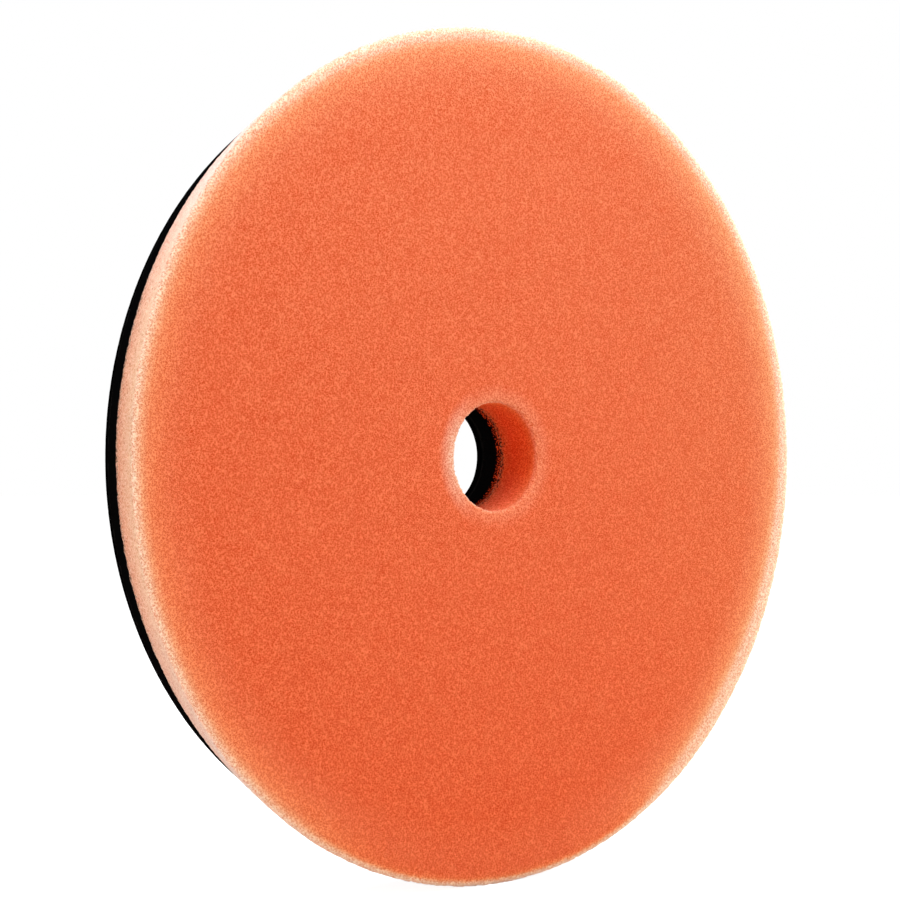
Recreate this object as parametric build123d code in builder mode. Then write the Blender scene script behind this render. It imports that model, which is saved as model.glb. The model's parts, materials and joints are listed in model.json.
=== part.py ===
from build123d import *
import os
from math import radians, tan

# Foam polishing pad for a dual-action polisher, in millimetres.
#
# The pad is a stack of round layers glued together: a soft foam that works the paint, a firmer
# foam behind it, and a loop cloth that grips the hooks of a backing plate. One hole is punched
# through every layer, and the outside wall is a cone that narrows from the working face to the
# cloth.
#
# Frame: the pad stands on its rim, with its axis along Y and Z upwards. The origin is where the
# axis crosses the mounting plane, which is the outer face of the loops, and the working face
# looks towards -Y. Heights in this script are distances from the mounting plane towards -Y.

# Driving dimensions
BACK_RADIUS = 153 / 2  # the mounting side, cut for a 6 in backing plate
WALL_TAPER = 18.5  # degrees between the outside wall and the pad's axis
HOLE_RADIUS = 21 / 2  # the centre punch
SHOULDER_WIDTH = 1.6  # how far the rounded working edge reaches in over the face
SHOULDER_DEPTH = 1.2  # how far the rounded working edge reaches down the wall
LIP_RADIUS = 0.8  # rounding where the hole opens in the working face

# Layer thicknesses, in order from the mounting plane to the working face
PILE_THICKNESS = 1.6
CLOTH_THICKNESS = 0.5
FILM_THICKNESS = 0.2
INTERFACE_THICKNESS = 5.0
POLISHING_THICKNESS = 11.0

# Height of the rear face of each layer
PILE_HEIGHT = 0
CLOTH_HEIGHT = PILE_HEIGHT + PILE_THICKNESS
CLOTH_FILM_HEIGHT = CLOTH_HEIGHT + CLOTH_THICKNESS
INTERFACE_HEIGHT = CLOTH_FILM_HEIGHT + FILM_THICKNESS
FOAM_FILM_HEIGHT = INTERFACE_HEIGHT + INTERFACE_THICKNESS
POLISHING_HEIGHT = FOAM_FILM_HEIGHT + FILM_THICKNESS
FACE_HEIGHT = POLISHING_HEIGHT + POLISHING_THICKNESS
WALL_TOP_HEIGHT = FACE_HEIGHT - SHOULDER_DEPTH


def wall_radius(height):
    """Radius of the outside cone at a height."""
    return BACK_RADIUS + height * tan(radians(WALL_TAPER))


def tapered_ring(height, thickness):
    """A flat layer whose wall lies on the outside cone, with the centre hole punched through."""
    with BuildPart() as ring:
        with BuildSketch(Plane.XZ.offset(height)):
            Circle(wall_radius(height))
        extrude(amount=thickness, taper=-WALL_TAPER)
        with Locations(Plane.XZ.offset(height)):
            Hole(HOLE_RADIUS)
    return ring


os.makedirs("parts", exist_ok=True)

# Loop pile: the field of upright loops that the hooks of a backing plate catch
loop_pile = tapered_ring(PILE_HEIGHT, PILE_THICKNESS)
loop_pile.part.label = "loop_pile"
export_step(loop_pile.part, "parts/loop_pile.step")

# Loop cloth: the knitted ground that holds the loops by their feet
loop_cloth = tapered_ring(CLOTH_HEIGHT, CLOTH_THICKNESS)
loop_cloth.part.label = "loop_cloth"
export_step(loop_cloth.part, "parts/loop_cloth.step")

# Cloth bond film: the hot-melt sheet between the cloth and the firm foam
cloth_bond_film = tapered_ring(CLOTH_FILM_HEIGHT, FILM_THICKNESS)
cloth_bond_film.part.label = "cloth_bond_film"
export_step(cloth_bond_film.part, "parts/cloth_bond_film.step")

# Interface foam: the firmer black disc that spreads the backing plate's load
interface_foam = tapered_ring(INTERFACE_HEIGHT, INTERFACE_THICKNESS)
interface_foam.part.label = "interface_foam"
export_step(interface_foam.part, "parts/interface_foam.step")

# Foam bond film: the hot-melt sheet between the two foams
foam_bond_film = tapered_ring(FOAM_FILM_HEIGHT, FILM_THICKNESS)
foam_bond_film.part.label = "foam_bond_film"
export_step(foam_bond_film.part, "parts/foam_bond_film.step")

# Polishing foam: the thick soft disc. Its working edge and the lip of its hole are slightly rounded
with BuildPart() as polishing_foam:
    with BuildSketch(Plane.XY):
        with BuildLine():
            wall = Line(
                (wall_radius(POLISHING_HEIGHT), -POLISHING_HEIGHT),
                (wall_radius(WALL_TOP_HEIGHT), -WALL_TOP_HEIGHT),
            )
            shoulder = Bezier(
                wall @ 1,
                (wall_radius(FACE_HEIGHT), -FACE_HEIGHT),
                (wall_radius(FACE_HEIGHT) - SHOULDER_WIDTH, -FACE_HEIGHT),
            )
            Polyline(shoulder @ 1, (0, -FACE_HEIGHT), (0, -POLISHING_HEIGHT), wall @ 0)
        make_face()
    revolve(axis=Axis.Y)
    with Locations(Plane.XZ.offset(POLISHING_HEIGHT)):
        Hole(HOLE_RADIUS)
    face_edges = polishing_foam.edges().filter_by(GeomType.CIRCLE).group_by(Axis.Y)[0]
    fillet(face_edges.sort_by(SortBy.RADIUS)[0], LIP_RADIUS)
polishing_foam.part.label = "polishing_foam"
export_step(polishing_foam.part, "parts/polishing_foam.step")
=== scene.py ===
import json
import math
from types import SimpleNamespace

import bpy
import numpy as np
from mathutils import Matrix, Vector, noise

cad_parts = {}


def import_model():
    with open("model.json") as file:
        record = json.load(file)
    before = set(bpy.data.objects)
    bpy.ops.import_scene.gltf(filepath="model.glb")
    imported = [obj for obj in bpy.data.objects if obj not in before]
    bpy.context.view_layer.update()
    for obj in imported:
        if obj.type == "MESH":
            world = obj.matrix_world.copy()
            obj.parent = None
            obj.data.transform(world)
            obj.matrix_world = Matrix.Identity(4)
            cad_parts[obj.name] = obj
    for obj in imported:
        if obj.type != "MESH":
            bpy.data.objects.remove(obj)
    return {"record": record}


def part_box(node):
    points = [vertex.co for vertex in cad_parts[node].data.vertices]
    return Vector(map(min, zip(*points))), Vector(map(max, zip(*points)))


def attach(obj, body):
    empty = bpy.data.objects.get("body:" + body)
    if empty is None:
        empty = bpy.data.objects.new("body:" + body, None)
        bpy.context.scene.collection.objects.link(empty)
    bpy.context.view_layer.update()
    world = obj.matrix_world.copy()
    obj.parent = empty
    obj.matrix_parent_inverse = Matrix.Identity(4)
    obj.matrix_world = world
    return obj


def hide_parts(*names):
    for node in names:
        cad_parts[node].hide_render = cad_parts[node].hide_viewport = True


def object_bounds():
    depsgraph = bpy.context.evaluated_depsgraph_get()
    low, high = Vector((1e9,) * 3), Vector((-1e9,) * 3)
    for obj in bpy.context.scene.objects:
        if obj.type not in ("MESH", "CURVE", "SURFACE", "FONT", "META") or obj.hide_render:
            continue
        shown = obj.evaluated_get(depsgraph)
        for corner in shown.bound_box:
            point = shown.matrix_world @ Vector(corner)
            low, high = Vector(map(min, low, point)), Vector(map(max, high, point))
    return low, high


# The looks of the foam polishing pad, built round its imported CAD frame. Units are metres.
# The pad's axis is Y: the working face looks towards -Y and the loops towards +Y.

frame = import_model()
cad_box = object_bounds()

MM = 0.001
TOUCHING = 1e-9  # places closer than this are the same place
MOUNTS = {m["name"]: m for m in frame["record"]["mounts"]}


# ---------------------------------------------------------------- places taken from the frame


def front(node):
    """The Y of a layer's face on the working side."""
    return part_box(node)[0].y


def rear(node):
    """The Y of a layer's face on the mounting side."""
    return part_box(node)[1].y


def widest(node):
    """A layer's largest radius."""
    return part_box(node)[1].x


HOLE_RADIUS = MOUNTS["centre_hole"]["dims"]["r_mm"] * MM
HOLE_WALL_LENGTH = MOUNTS["centre_hole"]["dims"]["length_mm"] * MM
FACE_Y = front("polishing_foam")
JOINT_Y = rear("polishing_foam")
LIP_RADIUS = -FACE_Y - HOLE_WALL_LENGTH
WALL_SLOPE = (widest("interface_foam") - widest("loop_pile")) / (
    front("loop_pile") - front("interface_foam")
)


def wall_radius(y):
    """Radius of the pad's outside cone at a given Y."""
    return widest("loop_pile") + WALL_SLOPE * (front("loop_pile") - y)


# The rounding of the working edge, as wide and as deep as in the CAD part
SHOULDER_WIDTH = 1.6 * MM
SHOULDER_DEPTH = 1.2 * MM
FLAT_RADIUS = wall_radius(FACE_Y) - SHOULDER_WIDTH

# ---------------------------------------------------------------- foam meshes

CELL = 0.95 * MM  # one pore of the polishing foam
OUTER_COLUMNS = 1152  # columns of a ring near the rim; halved, then quartered, further in
WALL_STEP = 0.45 * MM
RIM_BAND = 2 * MM  # full columns this far in from the cut edge of a flat layer


def line(a, b, step):
    """Points from a towards b, leaving b out."""
    a, b = np.array(a), np.array(b)
    count = max(1, round(np.linalg.norm(b - a) / step))
    return [tuple(a + (b - a) * i / count) for i in range(count)]


def bezier(a, control, b, count):
    """Points on a quadratic Bezier curve from a towards b, leaving b out."""
    a, control, b = np.array(a), np.array(control), np.array(b)
    ts = [i / count for i in range(count)]
    return [tuple((1 - t) ** 2 * a + 2 * t * (1 - t) * control + t * t * b) for t in ts]


def ring_points(radius, y, columns):
    """Points of one ring round the pad's axis."""
    angles = np.arange(columns) * 2 * math.pi / columns
    return np.stack([radius * np.cos(angles), np.full(columns, y), radius * np.sin(angles)], -1)


def stitch(first, n_first, second, n_second):
    """Faces between two rings whose column counts are equal or differ by a factor of two."""
    if n_first < n_second:
        return [face[::-1] for face in stitch(second, n_second, first, n_first)]
    faces = []
    ratio = n_first // n_second
    for k in range(n_second):
        a = first + k * ratio
        b = first + (k * ratio + 1) % n_first
        c = second + k
        d = second + (k + 1) % n_second
        if ratio == 1:
            faces.append((a, b, d, c))
        else:
            e = first + (k * ratio + 2) % n_first
            faces += [(a, b, c), (b, d, c), (b, e, d)]
    return faces


def closed_lathe(name, rings, relief):
    """A closed body of rings (radius, y, columns), moved along the profile's normal by relief."""
    radii = np.array([r for r, y, n in rings])
    heights = np.array([y for r, y, n in rings])
    tangent_r = np.roll(radii, -1) - np.roll(radii, 1)
    tangent_y = np.roll(heights, -1) - np.roll(heights, 1)
    length = np.hypot(tangent_r, tangent_y)
    points, starts = [], []
    for i, (radius, y, columns) in enumerate(rings):
        ring = ring_points(radius, y, columns)
        spoke = ring * (1, 0, 1) / radius
        normal = spoke * (-tangent_y[i] / length[i]) + np.array([0, tangent_r[i] / length[i], 0])
        starts.append(sum(len(p) for p in points))
        points.append(ring + normal * relief(ring, i)[:, None])
    faces = []
    for i in range(len(rings)):
        j = (i + 1) % len(rings)
        faces += stitch(starts[i], rings[i][2], starts[j], rings[j][2])
    return new_mesh(name, np.concatenate(points), faces)


def new_mesh(name, points, faces):
    """A smooth-shaded object, with edges sharper than 50 degrees kept."""
    mesh = bpy.data.meshes.new(name)
    mesh.from_pydata(points.tolist(), [], faces)
    mesh.validate()
    mesh.shade_smooth()
    mesh.set_sharp_from_angle(angle=math.radians(50))
    piece = bpy.data.objects.new(name, mesh)
    bpy.context.scene.collection.objects.link(piece)
    return piece


def cell_walls(points, size):
    """About -1 in the middle of a foam cell and +1 on the struts between cells."""
    found = [noise.voronoi(Vector(p) / size)[0] for p in points]
    return np.array([min(1.0, 3.2 * (d[1] - d[0])) for d in found]) * -2 + 1


def waves(points, size, seed):
    """Smooth bumps, from -1 to 1, each about size across."""
    shift = Vector((seed * 7.3, seed * 3.1, seed * 5.7))
    return np.array([noise.noise(Vector(p) / size + shift) for p in points])


def polishing_foam_piece():
    """The thick foam: wall, rounded edge, face, lip and hole, roughened by its cells."""
    wall_top_y = FACE_Y + SHOULDER_DEPTH
    outer = OUTER_COLUMNS
    joint_edge = (wall_radius(JOINT_Y), JOINT_Y)
    wall_top = (wall_radius(wall_top_y), wall_top_y)
    corner = (wall_radius(FACE_Y), FACE_Y)
    flat_edge = (FLAT_RADIUS, FACE_Y)
    lip_top = (HOLE_RADIUS + LIP_RADIUS, FACE_Y)
    half_radius, quarter_radius = FLAT_RADIUS * 0.93, FLAT_RADIUS * 0.42
    rings = []
    rings += [(r, y, outer) for r, y in line(joint_edge, wall_top, WALL_STEP)]
    rings += [(r, y, outer) for r, y in bezier(wall_top, corner, flat_edge, 7)]
    rings += [(r, y, outer) for r, y in line(flat_edge, (half_radius, FACE_Y), WALL_STEP * 1.2)]
    wide = line((half_radius, FACE_Y), (quarter_radius, FACE_Y), 0.85 * MM)
    rings += [(r, y, outer // 2) for r, y in wide]
    near = line((quarter_radius, FACE_Y), lip_top, 0.8 * MM)
    rings += [(r, y, outer // 4) for r, y in near]
    lip_steps = 6
    for i in range(lip_steps):
        turn = math.pi / 2 * i / lip_steps
        radius = HOLE_RADIUS + LIP_RADIUS * (1 - math.sin(turn))
        rings.append((radius, FACE_Y + LIP_RADIUS * (1 - math.cos(turn)), outer // 4))
    hole_top = (HOLE_RADIUS, FACE_Y + LIP_RADIUS)
    hole_end = (HOLE_RADIUS, JOINT_Y)
    rings += [(r, y, outer // 4) for r, y in line(hole_top, hole_end, 0.35 * MM)]
    rings += [(r, y, outer // 4) for r, y in line(hole_end, (quarter_radius, JOINT_Y), 5 * MM)]
    rear_wide = line((quarter_radius, JOINT_Y), (half_radius, JOINT_Y), 9 * MM)
    rings += [(r, y, outer // 2) for r, y in rear_wide]
    rings += [(half_radius, JOINT_Y, outer)]

    def relief(ring, i):
        radius, y, columns = rings[i]
        if y >= JOINT_Y - TOUCHING and HOLE_RADIUS < radius < joint_edge[0] - TOUCHING:
            return np.zeros(columns)
        on_face = radius < FLAT_RADIUS and y <= FACE_Y + TOUCHING
        pore_depth = 0.03 * MM if on_face else 0.10 * MM
        swell = 0.06 * MM * waves(ring, 9 * MM, 1) + 0.05 * MM * waves(ring, 2.2 * MM, 2)
        return pore_depth * cell_walls(ring, CELL) - 0.05 * MM + swell

    return closed_lathe("polishing_foam_body", rings, relief)


def layer_piece(name, node, step, depth, grain, seed):
    """A flat ring of the stack, whose cut edges are roughened by depth."""
    y_front, y_rear = front(node), rear(node)
    outer_front = (wall_radius(y_front), y_front)
    outer_rear = (wall_radius(y_rear), y_rear)
    hole_front, hole_rear = (HOLE_RADIUS, y_front), (HOLE_RADIUS, y_rear)
    middle = 0.5 * FLAT_RADIUS
    outer = OUTER_COLUMNS
    rings = [(r, y, outer) for r, y in line(outer_rear, outer_front, step)]
    rings.append((*outer_front, outer))
    rings.append((outer_front[0] - RIM_BAND, y_front, outer))
    rings.append((middle, y_front, outer // 2))
    rings += [(r, y, outer // 4) for r, y in line(hole_front, hole_rear, step)]
    rings.append((*hole_rear, outer // 4))
    rings.append((middle, y_rear, outer // 2))
    rings.append((outer_rear[0] - RIM_BAND, y_rear, outer))
    cut_radii = {outer_front[0], outer_rear[0], HOLE_RADIUS}

    def relief(ring, i):
        radius, y, columns = rings[i]
        on_cut = y_front < y < y_rear or any(abs(radius - c) < TOUCHING for c in cut_radii)
        if not on_cut:
            return np.zeros(columns)
        return depth * cell_walls(ring, grain) - depth + depth * waves(ring, 4 * grain, seed)

    return closed_lathe(name, rings, relief)


# ---------------------------------------------------------------- loop pile

LOOP_PITCH = 1.25 * MM
LOOP_WIDTH = 1.0 * MM
YARN_RADIUS = 0.13 * MM
ARCH_POINTS = 7
YARN_SIDES = 4
PLACE_JITTER = 0.16  # of the pitch, either way
EDGE_GAP = 0.03 * MM  # between the cut edge and the loops beside it
CROWN_HEIGHT = 0.5 * MM  # how far the loops' crowns stand out of the matted pile
SEAL_WIDTH = 0.9 * MM  # the hot cut melts the pile into a narrow solid edge
SEAL_DROP = 0.06 * MM
NAP_FLARE = 0.05 * MM  # how far the nap spreads past the cut edge at the rear


def loop_mat_piece():
    """The dense lower part of the pile, sealed nearly to full height at both cut edges."""
    y_cloth, y_mat = front("loop_pile"), rear("loop_pile") - CROWN_HEIGHT
    y_seal = rear("loop_pile") - SEAL_DROP
    hole_seal, hole_cloth = (HOLE_RADIUS, y_seal), (HOLE_RADIUS, y_cloth)
    edge_seal = (wall_radius(y_seal) + NAP_FLARE, y_seal)
    edge_cloth = (wall_radius(y_cloth), y_cloth)
    inner_mat, outer_mat = (HOLE_RADIUS + SEAL_WIDTH, y_mat), (edge_seal[0] - SEAL_WIDTH, y_mat)
    outer, middle, inner = OUTER_COLUMNS, OUTER_COLUMNS // 2, OUTER_COLUMNS // 4
    half_radius, quarter_radius = 0.75 * FLAT_RADIUS, 0.38 * FLAT_RADIUS
    step = 0.6 * MM
    rings = [(r, y, inner) for r, y in bezier(hole_seal, (inner_mat[0], y_seal), inner_mat, 4)]
    rings += [(r, y, inner) for r, y in line(inner_mat, (quarter_radius, y_mat), step)]
    rings += [(r, y, middle) for r, y in line((quarter_radius, y_mat), (half_radius, y_mat), step)]
    rings += [(r, y, outer) for r, y in line((half_radius, y_mat), outer_mat, step)]
    rings += [(r, y, outer) for r, y in bezier(outer_mat, (outer_mat[0], y_seal), edge_seal, 4)]
    half_way = (wall_radius(y_seal) + 0.4 * NAP_FLARE, 0.5 * (y_seal + y_cloth))
    flare = bezier(edge_seal, half_way, edge_cloth, 6)
    rings += [(r, y, outer) for r, y in flare]
    rings.append((*edge_cloth, outer))
    rings.append((half_radius, y_cloth, middle))
    rings.append((quarter_radius, y_cloth, inner))
    rings += [(r, y, inner) for r, y in line(hole_cloth, hole_seal, 0.3 * MM)]
    rings.reverse()

    def relief(ring, i):
        radius, y, columns = rings[i]
        if y <= y_cloth + TOUCHING:
            return np.zeros(columns)
        on_cut = radius < HOLE_RADIUS + TOUCHING or radius > wall_radius(y) - TOUCHING
        rough = 0.02 * MM if on_cut or y > y_mat + TOUCHING else 0.14 * MM
        return rough * (waves(ring, 1.1 * MM, 7) + 0.7 * waves(ring, 0.5 * MM, 8)) - 0.3 * rough

    return closed_lathe("loop_pile_mat", rings, relief)


def loop_places(rng):
    """Feet of the loops, in rows along Z that are offset by half a pitch from row to row."""
    y_cloth = front("loop_pile")
    reach = wall_radius(y_cloth) - SEAL_WIDTH - 0.4 * LOOP_WIDTH
    hole_reach = HOLE_RADIUS + SEAL_WIDTH + 0.4 * LOOP_WIDTH
    count = int(reach / LOOP_PITCH) + 1
    places = []
    for row in range(-count, count + 1):
        for k in range(-count, count + 1):
            x = (row + rng.uniform(-PLACE_JITTER, PLACE_JITTER)) * LOOP_PITCH
            z = (k + 0.5 * (row % 2) + rng.uniform(-PLACE_JITTER, PLACE_JITTER)) * LOOP_PITCH
            if hole_reach < math.hypot(x, z) < reach:
                places.append((x, z))
    return np.array(places)


def loop_mesh(name, places, rng):
    """One closed yarn arch on each place, each with its own width, height, turn and lean."""
    count = len(places)
    turn = rng.normal(0.0, 0.5, count) + math.pi / 2
    width = LOOP_WIDTH * rng.uniform(0.75, 1.15, count)
    cloth_y, top_y = front("loop_pile"), rear("loop_pile")
    height = (top_y - cloth_y - YARN_RADIUS) * rng.uniform(0.72, 1.0, count)
    lean = rng.normal(0.0, 0.28, (count, 2)) * MM
    across = np.stack([np.cos(turn), np.zeros(count), np.sin(turn)], -1)
    side = np.stack([-np.sin(turn), np.zeros(count), np.cos(turn)], -1)
    base = np.stack([places[:, 0], np.full(count, cloth_y), places[:, 1]], -1)
    rings = []
    for i in range(ARCH_POINTS):
        t = math.pi * i / (ARCH_POINTS - 1)
        rise = math.sin(t) ** 0.8
        bulge = math.cos(t) * (0.6 + 0.75 * math.sin(t))
        centre = base + across * (-bulge * width / 2)[:, None]
        centre[:, 1] += rise * height - 0.15 * MM * (1 - rise)
        centre[:, 0] += lean[:, 0] * rise
        centre[:, 2] += lean[:, 1] * rise
        out = across * -math.cos(t) + np.array([0, math.sin(t), 0])
        ring = []
        for k in range(YARN_SIDES):
            a = 2 * math.pi * (k + 0.5) / YARN_SIDES
            ring.append(centre + YARN_RADIUS * (math.cos(a) * out + math.sin(a) * side))
        rings.append(np.stack(ring, 1))
    points = np.stack(rings, 1).reshape(-1, 3)
    points[:, 1] = np.minimum(points[:, 1], top_y)
    radius = np.hypot(points[:, 0], points[:, 2])
    inside = np.clip(radius, HOLE_RADIUS + EDGE_GAP, wall_radius(points[:, 1]) - EDGE_GAP)
    points[:, [0, 2]] *= (inside / radius)[:, None]
    pattern = []
    for i in range(ARCH_POINTS - 1):
        for k in range(YARN_SIDES):
            a, b = i * YARN_SIDES + k, i * YARN_SIDES + (k + 1) % YARN_SIDES
            pattern.append((a, b, b + YARN_SIDES, a + YARN_SIDES))
    last = (ARCH_POINTS - 1) * YARN_SIDES
    pattern.append(tuple(reversed(range(YARN_SIDES))))
    pattern.append(tuple(range(last, last + YARN_SIDES)))
    first = np.arange(count)[:, None, None] * ARCH_POINTS * YARN_SIDES
    faces = (np.array(pattern)[None] + first).reshape(-1, YARN_SIDES)
    return new_mesh(name, points, faces.tolist())


def loop_pile_pieces():
    """The loops, in one piece for each quarter of the pad."""
    rng = np.random.default_rng(11)
    places = loop_places(rng)
    sector = (np.arctan2(places[:, 1], places[:, 0]) // (math.pi / 2)).astype(int)
    names = ["a", "b", "c", "d"]
    return [
        loop_mesh("loop_pile_" + names[s - min(sector)], places[sector == s], rng)
        for s in sorted(set(sector))
    ]


# ---------------------------------------------------------------- materials


class Nodes:
    """A short way to write a node tree: nodes are made and linked in one call."""

    def __init__(self, name):
        self.material = bpy.data.materials.new(name)
        self.material.use_nodes = True
        self.tree = self.material.node_tree
        self.shader = self.tree.nodes["Principled BSDF"]

    def put(self, value, socket):
        if isinstance(value, bpy.types.NodeSocket):
            self.tree.links.new(value, socket)
        else:
            socket.default_value = value

    def add(self, kind, output, inputs, **settings):
        node = self.tree.nodes.new(kind)
        for key, value in settings.items():
            setattr(node, key, value)
        for key, value in inputs.items():
            self.put(value, node.inputs[key])
        return node.outputs[output]

    def math(self, operation, a, b=0.0, clamp=False):
        return self.add("ShaderNodeMath", 0, {0: a, 1: b}, operation=operation, use_clamp=clamp)

    def noise(self, vector, size, detail=2.0, roughness=0.5):
        inputs = {"Vector": vector, "Scale": 1 / size, "Detail": detail, "Roughness": roughness}
        return self.add("ShaderNodeTexNoise", "Fac", inputs)

    def voronoi(self, vector, size, feature="F1"):
        inputs = {"Vector": vector, "Scale": 1 / size}
        return self.add("ShaderNodeTexVoronoi", "Distance", inputs, feature=feature)

    def remap(self, value, low, high, to_low=0.0, to_high=1.0, smooth=True):
        inputs = {
            "Value": value,
            "From Min": low,
            "From Max": high,
            "To Min": to_low,
            "To Max": to_high,
        }
        kind = "SMOOTHSTEP" if smooth else "LINEAR"
        return self.add("ShaderNodeMapRange", "Result", inputs, interpolation_type=kind)

    def mix(self, factor, a, b, blend="MIX"):
        node = self.tree.nodes.new("ShaderNodeMix")
        node.data_type = "RGBA"
        node.blend_type = blend
        self.put(factor, node.inputs[0])
        self.put(a, node.inputs[6])
        self.put(b, node.inputs[7])
        return node.outputs[2]

    def ramp(self, value, low, high, stops):
        """A colour for each (position, colour), with positions in value's own units."""
        node = self.tree.nodes.new("ShaderNodeValToRGB")
        elements = node.color_ramp.elements
        for i, (position, colour) in enumerate(stops):
            place = (position - low) / (high - low)
            if i < 2:
                elements[i].position = place
            element = elements[i] if i < 2 else elements.new(place)
            element.color = colour
        self.put(self.remap(value, low, high, smooth=False), node.inputs[0])
        return node.outputs[0]

    def bump(self, height, distance, strength=1.0):
        inputs = {"Height": height, "Distance": distance, "Strength": strength}
        return self.add("ShaderNodeBump", "Normal", inputs)

    def finish(self, **inputs):
        for key, value in inputs.items():
            self.put(value, self.shader.inputs[key.replace("_", " ")])
        return self.material


def srgb(red, green, blue):
    """A linear colour from the 0 to 255 values that a screen shows."""

    def linear(level):
        c = level / 255
        return c / 12.92 if c <= 0.04045 else ((c + 0.055) / 1.055) ** 2.4

    return (linear(red), linear(green), linear(blue), 1.0)


FACE_ORANGE = srgb(240, 112, 44)
SCRAP_ORANGE = srgb(226, 78, 34)
SCRAP_REACH = 1.7 * MM  # how far scraps of foam hang past the joint in the hole


def pad_coordinates(n):
    """Object position with its X and Z, distance from the axis, and depth behind the face."""
    position = n.add("ShaderNodeTexCoord", "Object", {})
    x, y, z = (
        n.add("ShaderNodeSeparateXYZ", axis, {"Vector": position}) for axis in ("X", "Y", "Z")
    )
    flat = n.add("ShaderNodeCombineXYZ", "Vector", {"X": x, "Y": z})
    radius = n.add("ShaderNodeVectorMath", "Value", {0: flat}, operation="LENGTH")
    depth = n.math("SUBTRACT", y, FACE_Y)
    return SimpleNamespace(position=position, x=x, z=z, radius=radius, depth=depth)


def foam_coordinates(n):
    """Pad coordinates, with others that follow the polishing foam's profile.

    wrap runs over the face, round the working edge and down the wall, and is 0 where the flat
    face ends. inward runs over the lip and down the hole, and is 0 at the lip's outer edge.
    """
    at = pad_coordinates(n)
    at.wrap = n.math("ADD", n.math("SUBTRACT", at.radius, FLAT_RADIUS), at.depth)
    lip_edge = HOLE_RADIUS + LIP_RADIUS
    at.inward = n.math("ADD", n.math("SUBTRACT", lip_edge, at.radius), at.depth)
    at.near_hole = n.remap(at.radius, 20 * MM, 25 * MM, 1.0, 0.0)
    at.on_wall = n.remap(at.wrap, 0.6 * MM, 2.4 * MM)
    at.off_middle = n.remap(n.math("ABSOLUTE", at.z), 12 * MM, 60 * MM)
    at.height = n.remap(at.z, -80 * MM, 80 * MM, smooth=False)
    return at


def outside_colour(n, at):
    """Orange on the face, and painted light round the edge and down the wall: pale, as if light
    came through the foam there.
    """
    # The painted light starts further out at the bottom, where less light falls, and sooner at the
    # top and on the +X side, where more falls
    delay = n.remap(at.z, -81 * MM, -64 * MM, 5 * MM, 0.0)
    later = n.remap(at.wrap, -1.2 * MM, 0.8 * MM, delay, 0.0)
    advance = n.remap(at.z, -60 * MM, 60 * MM, 2.9 * MM, 0.8 * MM)
    right = n.remap(at.x, 25 * MM, 62 * MM, 0.0, advance)
    top = n.remap(at.z, 40 * MM, 80 * MM, 0.0, 0.9 * MM)
    shifted = n.math("ADD", n.math("SUBTRACT", at.wrap, later), n.math("ADD", right, top))
    # On the face the shift stops at the palest colour, and doesn't reach the colours of the wall
    palest = 1.2 * MM
    return n.ramp(
        n.math("MINIMUM", shifted, n.math("MAXIMUM", at.wrap, palest)),
        -14 * MM,
        10 * MM,
        [
            (-14 * MM, FACE_ORANGE),
            (-6.5 * MM, srgb(241, 116, 48)),
            (-3.4 * MM, srgb(247, 134, 64)),
            (-1.6 * MM, srgb(250, 154, 88)),
            (-0.4 * MM, srgb(252, 188, 136)),
            (palest, srgb(255, 238, 218)),
            (3.2 * MM, srgb(255, 212, 193)),
            (6.2 * MM, srgb(250, 192, 168)),
            (9 * MM, srgb(230, 164, 144)),
        ],
    )


def hole_colour(n, at):
    """Orange round the hole, deep red down its wall as painted shade and bounced light, and
    painted light on its lower half.
    """
    # Down the wall the red deepens: painted shade and the light bounced round inside the hole
    inside = n.ramp(
        at.inward,
        -2 * MM,
        13 * MM,
        [
            (-2 * MM, FACE_ORANGE),
            (0.6 * MM, srgb(243, 128, 64)),
            (2.2 * MM, srgb(250, 118, 50)),
            (4.4 * MM, srgb(255, 99, 30)),
            (8 * MM, srgb(255, 88, 22)),
            (10.6 * MM, srgb(246, 96, 34)),
            (12.4 * MM, srgb(224, 102, 56)),
        ],
    )
    # Painted light: the lower half of the hole's wall is paler, where light from above falls on it
    below = n.remap(at.z, -2 * MM, -10 * MM, 0.0, 0.4)
    low = n.math("MULTIPLY", below, n.remap(at.inward, 1 * MM, 3 * MM))
    return n.mix(low, inside, srgb(255, 150, 112))


def paint_lip_glow(n, at, base):
    """Painted light on the lip, glowing as if light came through the thin foam there: faint all
    round, and strong on the -X side.
    """
    lip = n.remap(at.radius, HOLE_RADIUS, HOLE_RADIUS + 4.4 * MM, 1.0, 0.0)
    lip_glow = n.math("MULTIPLY", lip, n.remap(at.x, -5 * MM, -14.5 * MM, 0.12, 1.0))
    lip_glow = n.math("MULTIPLY", lip_glow, n.remap(at.inward, 1.2 * MM, 2.4 * MM, 1.0, 0.0))
    return n.mix(lip_glow, base, srgb(255, 240, 216))


def foam_fuzz(n, at):
    """The fuzz of cut cells: strong round the working edge, weak on the face and in the hole."""
    edge = n.remap(at.wrap, -13 * MM, -2 * MM, 0.3, 1.0)
    edge = n.math("MULTIPLY", edge, n.remap(at.z, -80 * MM, -60 * MM, 0.5, 1.0))
    at_joint = n.remap(at.off_middle, 0.0, 1.0, 0.3, 0.9)
    joint = n.remap(at.wrap, 1.6 * MM, 8.3 * MM, 1.0, at_joint)
    hole = n.remap(at.inward, 1 * MM, 3 * MM, 1.0, 0.05)
    return n.math("MULTIPLY", n.math("MULTIPLY", edge, joint), hole)


def foam_struts(n, at):
    """Height of the fine grain: struts round cells, on two scales."""
    cells = n.voronoi(at.position, 0.36 * MM)
    fine = n.noise(at.position, 0.145 * MM, 1.0, 0.6)
    return n.math("ADD", n.math("MULTIPLY", cells, 0.5), fine)


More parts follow.
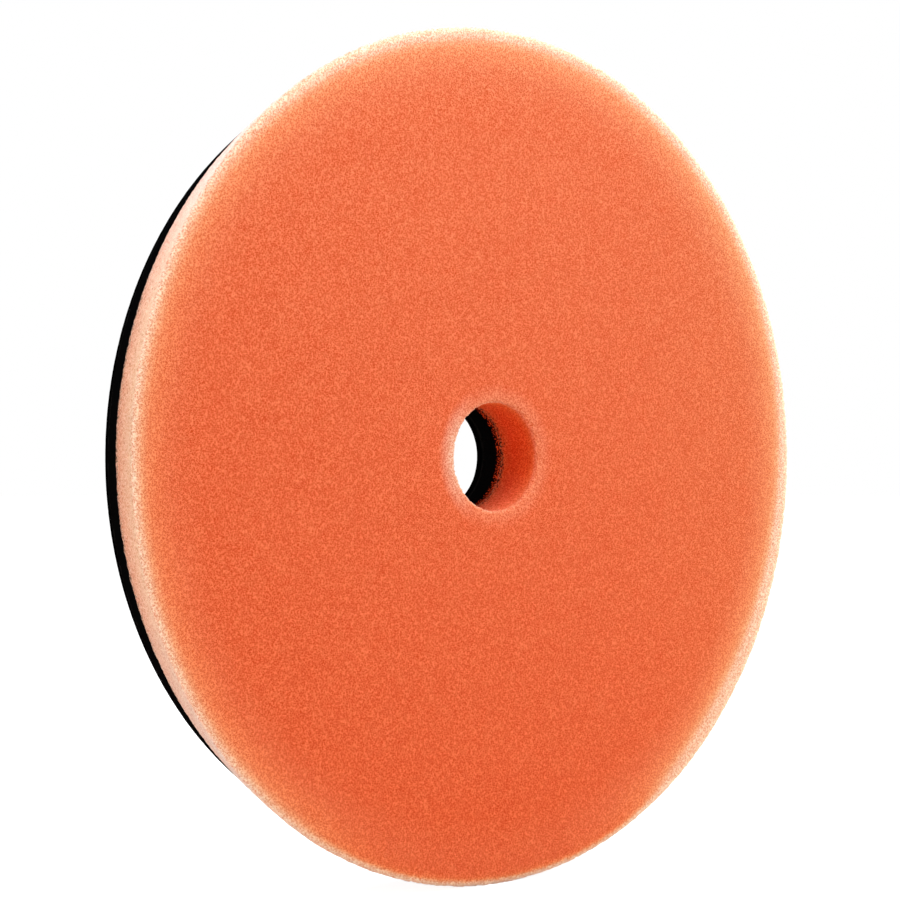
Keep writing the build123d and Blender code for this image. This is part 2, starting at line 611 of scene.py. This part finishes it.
def grained(n, at, base, struts):
    """The base colour with pale struts, darker cells and a soft mottling."""
    grain = n.remap(struts, 0.56, 0.96, smooth=False)
    mottle = n.noise(at.position, 6 * MM, 3.0)
    darker = n.mix(1.0, base, (0.68, 0.33, 0.23, 1), "MULTIPLY")
    paler = n.remap(n.math("MULTIPLY", at.inward, at.near_hole), 1 * MM, 3 * MM, 0.13, 0.04)
    lighter = n.mix(paler, base, (1.0, 0.80, 0.62, 1))
    colour = n.mix(grain, darker, lighter)
    tone = n.mix(mottle, (0.98, 0.92, 0.90, 1), (1.02, 1.07, 1.09, 1))
    return n.mix(1.0, colour, tone, "MULTIPLY")


def cut_wall(n, at, colour):
    """Open pores in the wall, and a ragged dark line where film has soaked into the foam."""
    open_pores = n.remap(n.voronoi(at.position, 0.8 * MM), 0.42, 0.2)
    pores = n.math("MULTIPLY", open_pores, at.on_wall)
    colour = n.mix(pores, colour, n.mix(1.0, colour, (0.78, 0.52, 0.44, 1), "MULTIPLY"))
    rough_edge = n.math("MULTIPLY", n.noise(at.position, 0.45 * MM), 8 * MM)
    ragged = n.math("ADD", at.depth, rough_edge)
    soaked = n.remap(ragged, 14.2 * MM, 15.8 * MM)
    soaked = n.math("MULTIPLY", soaked, n.remap(at.off_middle, 0.0, 1.0, 1.0, 0.15))
    return n.mix(soaked, colour, srgb(40, 20, 16))


def painted_light_tint(n, at, colour):
    """Painted light: the face is deeper at the bottom and lighter at the top, where more light
    falls, and lighter on the +X side, lit from that side.
    """
    # Painted light from above: lighter at the top, deeper at the bottom
    top_light_tint = n.mix(at.height, (0.97, 0.79, 0.70, 1), (1.0, 1.11, 1.31, 1))
    top_light_tint = n.mix(n.remap(at.wrap, -1 * MM, 1 * MM), top_light_tint, (1, 1, 1, 1))
    colour = n.mix(1.0, colour, top_light_tint, "MULTIPLY")
    # Painted light on the +X side
    across = n.mix(n.remap(at.x, 30 * MM, 70 * MM), (1, 1, 1, 1), (1.0, 1.10, 1.10, 1))
    return n.mix(1.0, colour, across, "MULTIPLY")


def polishing_foam_material():
    """Open-cell foam. Its pale parts are painted light, and it lets light through near its edge.
    """
    n = Nodes("polishing_foam")
    at = foam_coordinates(n)
    base = n.mix(at.near_hole, outside_colour(n, at), hole_colour(n, at))
    # Painted light on the lip round the hole
    base = paint_lip_glow(n, at, base)
    # Away from mid-height the wall is painted with light: nearly white at the bottom and dull pink
    # at the top
    painted_wall_light = n.math("MULTIPLY", n.math("MULTIPLY", at.on_wall, at.off_middle), 0.85)
    wall = n.mix(at.height, srgb(255, 243, 234), srgb(217, 128, 118))
    base = n.mix(painted_wall_light, base, wall)
    struts = foam_struts(n, at)
    colour = cut_wall(n, at, grained(n, at, base, struts))
    at_joint = n.remap(at.off_middle, 0.0, 1.0, 0.55, 0.15)
    return n.finish(
        Base_Color=painted_light_tint(n, at, colour),
        Roughness=0.95,
        Specular_IOR_Level=0.0,
        Normal=n.bump(struts, 0.16 * MM, 0.55),
        Subsurface_Weight=n.remap(at.wrap, 1 * MM, 8 * MM, 0.55, at_joint),
        Subsurface_Radius=(1.0, 0.75, 0.6),
        Subsurface_Scale=4.5 * MM,
        Sheen_Weight=foam_fuzz(n, at),
        Sheen_Roughness=0.5,
        Sheen_Tint=n.mix(painted_wall_light, (1.0, 0.76, 0.48, 1), (0.95, 0.86, 0.86, 1)),
    )


def torn_cells(n, at):
    """Scraps of the orange foam that hang over the joint inside the hole."""
    joint = JOINT_Y - FACE_Y
    near = n.remap(at.depth, joint, joint + SCRAP_REACH, 1.0, 0.0, smooth=False)
    scraps = n.math("ADD", n.noise(at.position, 0.3 * MM, 1.0), n.math("MULTIPLY", near, 0.16))
    in_hole = n.remap(at.radius, HOLE_RADIUS + 0.3 * MM, HOLE_RADIUS + 0.6 * MM, 1.0, 0.0)
    torn = n.math("MULTIPLY", n.remap(scraps, 0.6, 0.72), n.remap(near, 0.0, 0.2))
    return n.math("MULTIPLY", torn, in_hole)


def interface_foam_material():
    """Matt black close-grained foam, with scraps of orange over its edge in the hole."""
    n = Nodes("interface_foam")
    at = pad_coordinates(n)
    cells = n.voronoi(at.position, 0.5 * MM)
    fine = n.noise(at.position, 0.25 * MM)
    grain = n.math("ADD", n.math("MULTIPLY", cells, 0.6), n.math("MULTIPLY", fine, 0.6))
    colour = n.mix(grain, (0.0006, 0.0006, 0.0007, 1), (0.0028, 0.0028, 0.003, 1))
    colour = n.mix(torn_cells(n, at), colour, SCRAP_ORANGE)
    return n.finish(
        Base_Color=colour,
        Roughness=1.0,
        Specular_IOR_Level=0.0,
        Normal=n.bump(grain, 0.12 * MM, 0.6),
    )


def bond_film_material():
    """Dark glue with faint streaks, and scraps of orange over its edge in the hole."""
    n = Nodes("bond_film")
    at = pad_coordinates(n)
    streaks = n.noise(at.position, 1.5 * MM, 3.0)
    colour = n.mix(streaks, (0.0008, 0.0006, 0.0006, 1), (0.0035, 0.0025, 0.0022, 1))
    colour = n.mix(torn_cells(n, at), colour, SCRAP_ORANGE)
    return n.finish(
        Base_Color=colour,
        Roughness=n.remap(streaks, 0.3, 0.7, 0.6, 0.85),
        Specular_IOR_Level=0.03,
        Normal=n.bump(streaks, 0.05 * MM, 0.5),
    )


def loop_cloth_material():
    """Warp-knitted ground: a chain of stitches along Z in each wale."""
    n = Nodes("loop_cloth")
    at = pad_coordinates(n)
    wales = n.add(
        "ShaderNodeTexWave",
        "Fac",
        {"Vector": at.position, "Scale": 0.05 / MM, "Distortion": 0.6, "Detail Scale": 900.0},
        bands_direction="X",
    )
    courses = n.add(
        "ShaderNodeTexWave",
        "Fac",
        {"Vector": at.position, "Scale": 0.07 / MM, "Distortion": 0.6, "Detail Scale": 900.0},
        bands_direction="Z",
    )
    knit = n.math("MULTIPLY", wales, n.math("ADD", n.math("MULTIPLY", courses, 0.6), 0.4))
    colour = n.mix(knit, (0.0008, 0.0008, 0.0009, 1), (0.0035, 0.0035, 0.0038, 1))
    return n.finish(
        Base_Color=colour,
        Roughness=0.95,
        Specular_IOR_Level=0.03,
        Normal=n.bump(knit, 0.12 * MM, 0.8),
    )


def loop_pile_material():
    """Black nylon yarn. The crowns of the loops catch light and are painted lighter, and the mat
    below them is painted darker, in shade.
    """
    n = Nodes("loop_pile")
    at = pad_coordinates(n)
    patches = n.noise(at.position, 7 * MM, 3.0)
    yarn = n.noise(at.position, 0.2 * MM, 1.0)
    lit = n.math("ADD", n.math("MULTIPLY", patches, 0.5), n.math("MULTIPLY", yarn, 0.5))
    crown = n.remap(at.depth, -FACE_Y - 1.1 * MM, -FACE_Y, smooth=False)
    from_hole = n.remap(at.radius, HOLE_RADIUS + 0.4 * MM, HOLE_RADIUS + 1.4 * MM)
    from_rim = n.remap(at.radius, widest("loop_pile") - 0.6 * MM, widest("loop_pile") - 1.6 * MM)
    crown = n.math("MULTIPLY", crown, n.math("MULTIPLY", from_hole, from_rim))
    # Painted light: crowns lighter than the shaded mat below them
    shade = n.mix(lit, (0.010, 0.010, 0.011, 1), (0.040, 0.040, 0.043, 1))
    colour = n.mix(crown, (0.0008, 0.0008, 0.0009, 1), shade)
    return n.finish(
        Base_Color=colour,
        Roughness=n.remap(yarn, 0.3, 0.7, 0.42, 0.62),
        Specular_IOR_Level=n.math("MULTIPLY", crown, 0.4),
        Sheen_Weight=n.math("MULTIPLY", crown, 0.12),
        Sheen_Roughness=0.4,
    )


# ---------------------------------------------------------------- the pad


def place(piece, material, node, slot):
    """Give a piece its material, and let it stand for a CAD node on the pad's one body."""
    piece.data.materials.append(material)
    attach(piece, "root")
    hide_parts(node)


film = bond_film_material()
place(polishing_foam_piece(), polishing_foam_material(), "polishing_foam", "polishing_foam")
place(
    layer_piece(
        "foam_bond_film_sheet",
        "foam_bond_film",
        step=0.1 * MM,
        depth=0.05 * MM,
        grain=1.2 * MM,
        seed=3,
    ),
    film,
    "foam_bond_film",
    "bond_film",
)
place(
    layer_piece(
        "interface_foam_body",
        "interface_foam",
        step=0.5 * MM,
        depth=0.04 * MM,
        grain=0.8 * MM,
        seed=4,
    ),
    interface_foam_material(),
    "interface_foam",
    "interface_foam",
)
place(
    layer_piece(
        "cloth_bond_film_sheet",
        "cloth_bond_film",
        step=0.1 * MM,
        depth=0.04 * MM,
        grain=1.2 * MM,
        seed=5,
    ),
    film,
    "cloth_bond_film",
    "bond_film",
)
place(
    layer_piece(
        "loop_cloth_ground",
        "loop_cloth",
        step=0.25 * MM,
        depth=0.04 * MM,
        grain=0.9 * MM,
        seed=6,
    ),
    loop_cloth_material(),
    "loop_cloth",
    "loop_cloth",
)
pile = loop_pile_material()
for piece in [loop_mat_piece()] + loop_pile_pieces():
    place(piece, pile, "loop_pile", "loop_pile")

# ---------------------------------------------------------------- floor, light and camera

FLOOR_RADIUS = 4.0
FLOOR_SIDES = 64
FLOOR_Z = cad_box[0].z
FLOOR_GLOW = 0.08
FLOOR_GLOW_TO_CAMERA = 0.86
SURROUND_LIGHT = 0.42
WHITE = (1.0, 1.0, 1.0)
WARM = (1.0, 0.85, 0.72)


def floor():
    """A plain pale disc, which glows to the camera so that it meets the white distance."""
    points = np.concatenate([ring_points(FLOOR_RADIUS, 0, FLOOR_SIDES), [[0, 0, 0]]])
    points[:, 1], points[:, 2] = -points[:, 2], FLOOR_Z
    faces = [(k, (k + 1) % FLOOR_SIDES, FLOOR_SIDES) for k in range(FLOOR_SIDES)]
    disc = new_mesh("floor", points, faces)
    n = Nodes("floor")
    position = n.add("ShaderNodeTexCoord", "Object", {})
    cloudy = n.noise(position, 0.4)
    pale = n.mix(cloudy, (0.50, 0.50, 0.50, 1), (0.52, 0.52, 0.52, 1))
    to_camera = n.add("ShaderNodeLightPath", "Is Camera Ray", {})
    colour = n.mix(to_camera, (0.62, 0.49, 0.41, 1), pale)
    glow = n.remap(to_camera, 0.0, 1.0, FLOOR_GLOW, FLOOR_GLOW_TO_CAMERA, smooth=False)
    disc.data.materials.append(
        n.finish(
            Base_Color=colour,
            Roughness=1.0,
            Specular_IOR_Level=0.0,
            Emission_Color=(1, 1, 1, 1),
            Emission_Strength=glow,
        )
    )


def world():
    """Even white surroundings: white to the camera, and dimmer as a light."""
    scene_world = bpy.data.worlds.new("studio")
    scene_world.use_nodes = True
    tree = scene_world.node_tree
    background = tree.nodes["Background"]
    path = tree.nodes.new("ShaderNodeLightPath")
    strength = tree.nodes.new("ShaderNodeMapRange")
    strength.inputs["To Min"].default_value = SURROUND_LIGHT
    strength.inputs["To Max"].default_value = 1.0
    tree.links.new(path.outputs["Is Camera Ray"], strength.inputs["Value"])
    tree.links.new(strength.outputs["Result"], background.inputs["Strength"])
    background.inputs["Color"].default_value = (1, 1, 1, 1)
    bpy.context.scene.world = scene_world


def softbox(name, azimuth, elevation, distance, size, power, colour=WHITE):
    """A square area light at an azimuth and elevation round the pad, facing it."""
    data = bpy.data.lights.new(name, "AREA")
    data.shape = "SQUARE"
    data.size = size
    data.energy = power
    data.color = colour
    light = bpy.data.objects.new(name, data)
    back = away(azimuth, elevation)
    light.location = pad_centre + back * distance
    light.rotation_mode = "QUATERNION"
    light.rotation_quaternion = (-back).to_track_quat("-Z", "Y")
    light.visible_camera = False
    bpy.context.scene.collection.objects.link(light)


def away(azimuth, elevation):
    """Unit vector from the pad towards an azimuth and elevation. Azimuth 0 is the face's side."""
    a, e = math.radians(azimuth), math.radians(elevation)
    return Vector((math.sin(a) * math.cos(e), -math.cos(a) * math.cos(e), math.sin(e)))


pad_centre = (cad_box[0] + cad_box[1]) / 2
floor()
world()
softbox("key_above", azimuth=-20, elevation=74, distance=0.32, size=0.22, power=0.85)
softbox(
    "front_low", azimuth=-42, elevation=6, distance=0.9, size=0.6, power=2.85, colour=WARM
)
softbox("side_left", azimuth=-100, elevation=4, distance=0.9, size=0.6, power=3.0)
softbox("rim_right", azimuth=84, elevation=2, distance=0.5, size=0.35, power=2.3)
softbox("rim_above", azimuth=120, elevation=72, distance=0.7, size=0.5, power=4.6)

# The camera stands level with the pad, 39.7 degrees to the left of the face's axis, and looks
# past the pad a little to its left.
CAMERA_AZIMUTH = -39.7
CAMERA_DISTANCE = 0.476
CAMERA_LENS = 98.4
PAD_RIGHT_OF_VIEW = 7.4 * MM
PAD_BELOW_VIEW = 1.3 * MM
TARGET_DEPTH = 2.7 * MM

camera_data = bpy.data.cameras.new("camera")
camera_data.sensor_width = 36
camera_data.lens = CAMERA_LENS
camera_data.clip_start = 0.01
camera = bpy.data.objects.new("camera", camera_data)
bpy.context.scene.collection.objects.link(camera)
back = away(CAMERA_AZIMUTH, 0)
turn = math.radians(CAMERA_AZIMUTH)
right = Vector((math.cos(turn), math.sin(turn), 0))
target = Vector((0, FACE_Y + TARGET_DEPTH, 0))
camera.location = (
    target + back * CAMERA_DISTANCE - right * PAD_RIGHT_OF_VIEW + Vector((0, 0, PAD_BELOW_VIEW))
)
camera.rotation_mode = "QUATERNION"
camera.rotation_quaternion = (-back).to_track_quat("-Z", "Y")
bpy.context.scene.camera = camera
bpy.context.scene.view_settings.view_transform = "Standard"
